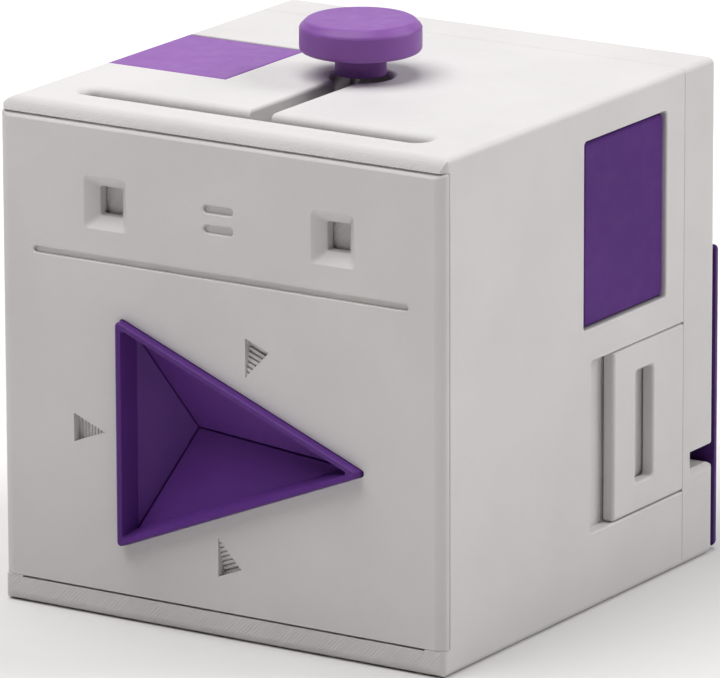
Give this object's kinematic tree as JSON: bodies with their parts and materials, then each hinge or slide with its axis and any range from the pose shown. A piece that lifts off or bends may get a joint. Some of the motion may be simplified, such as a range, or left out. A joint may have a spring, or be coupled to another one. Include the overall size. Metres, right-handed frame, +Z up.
{
  "type": "fidget cube",
  "caption": "White printed desk fidget cube with a purple press dish, a gliding mushroom knob, a side slider, a button, a corner clicker and a sliding rear door.",
  "frame": {"origin": "centre of the cube's square base, on the surface it stands on", "axes": "+X to the cube's right side, +Y to its back, +Z up; the face with the dish looks along -Y"},
  "size_m": [0.07, 0.0734, 0.0778],
  "materials": {
    "white_print": "matte white printed plastic with fine layer lines",
    "purple_print": "satin purple printed plastic with fine layer lines",
    "screw_steel": "zinc-plated steel",
    "spring_steel": "bright spring wire"
  },
  "bodies": {
    "cube_body": {"main_shell": "white_print", "front_panel": "white_print", "rear_cover": "white_print", "inner_chassis": "white_print", "button_bracket": "white_print", "chassis_screw_1": "screw_steel", "chassis_screw_2": "screw_steel", "chassis_screw_3": "screw_steel", "chassis_screw_4": "screw_steel", "cover_screw_1": "screw_steel", "cover_screw_2": "screw_steel", "cover_screw_3": "screw_steel", "cover_screw_4": "screw_steel", "bracket_screw_1": "screw_steel", "bracket_screw_2": "screw_steel", "clicker_pin": "screw_steel", "door_stop_pin": "screw_steel", "dish_spring": "spring_steel", "clicker_spring": "spring_steel", "button_spring_1": "spring_steel", "button_spring_2": "spring_steel"},
    "press_dish": {"press_dish": "purple_print"},
    "knob_carriage": {"knob_shoe": "white_print", "knob_washer": "screw_steel"},
    "knob": {"knob_cap": "purple_print", "knob_screw": "screw_steel"},
    "side_button": {"side_button": "purple_print"},
    "corner_clicker": {"corner_clicker": "purple_print"},
    "side_slider": {"side_slider": "white_print", "slider_keeper": "white_print", "slider_screw_1": "screw_steel", "slider_screw_2": "screw_steel"},
    "rear_door": {"rear_door": "purple_print"}
  },
  "joints": [
    {"name": "dish_press", "type": "slide", "parent": "cube_body", "child": "press_dish", "axis": [0, 1, 0], "range_m": [0, 0.0025], "stiffness_N_per_m": 500, "springref_m": -0.003, "deforming": ["dish_spring"]},
    {"name": "knob_glide", "type": "slide", "parent": "cube_body", "child": "knob_carriage", "axis": [0, -1, 0], "range_m": [0, 0.026]},
    {"name": "knob_spin", "type": "hinge", "parent": "knob_carriage", "child": "knob", "pos_m": [0, 0, 0.07], "axis": [0, 0, 1], "continuous": true},
    {"name": "button_press", "type": "slide", "parent": "cube_body", "child": "side_button", "axis": [-1, 0, 0], "range_m": [0, 0.002], "stiffness_N_per_m": 400, "springref_m": -0.003, "deforming": ["button_spring_1", "button_spring_2"]},
    {"name": "clicker_press", "type": "hinge", "parent": "cube_body", "child": "corner_clicker", "pos_m": [-0.0167, 0, 0.0644], "axis": [0, -1, 0], "range_deg": [0, 4], "stiffness_Nm_per_rad": 0.05, "springref_deg": -6.88, "deforming": ["clicker_spring"]},
    {"name": "slider_glide", "type": "slide", "parent": "cube_body", "child": "side_slider", "axis": [0, -1, 0], "range_m": [0, 0.0058]},
    {"name": "door_slide", "type": "slide", "parent": "cube_body", "child": "rear_door", "axis": [1, 0, 0], "range_m": [0, 0.0237]}
  ]
}
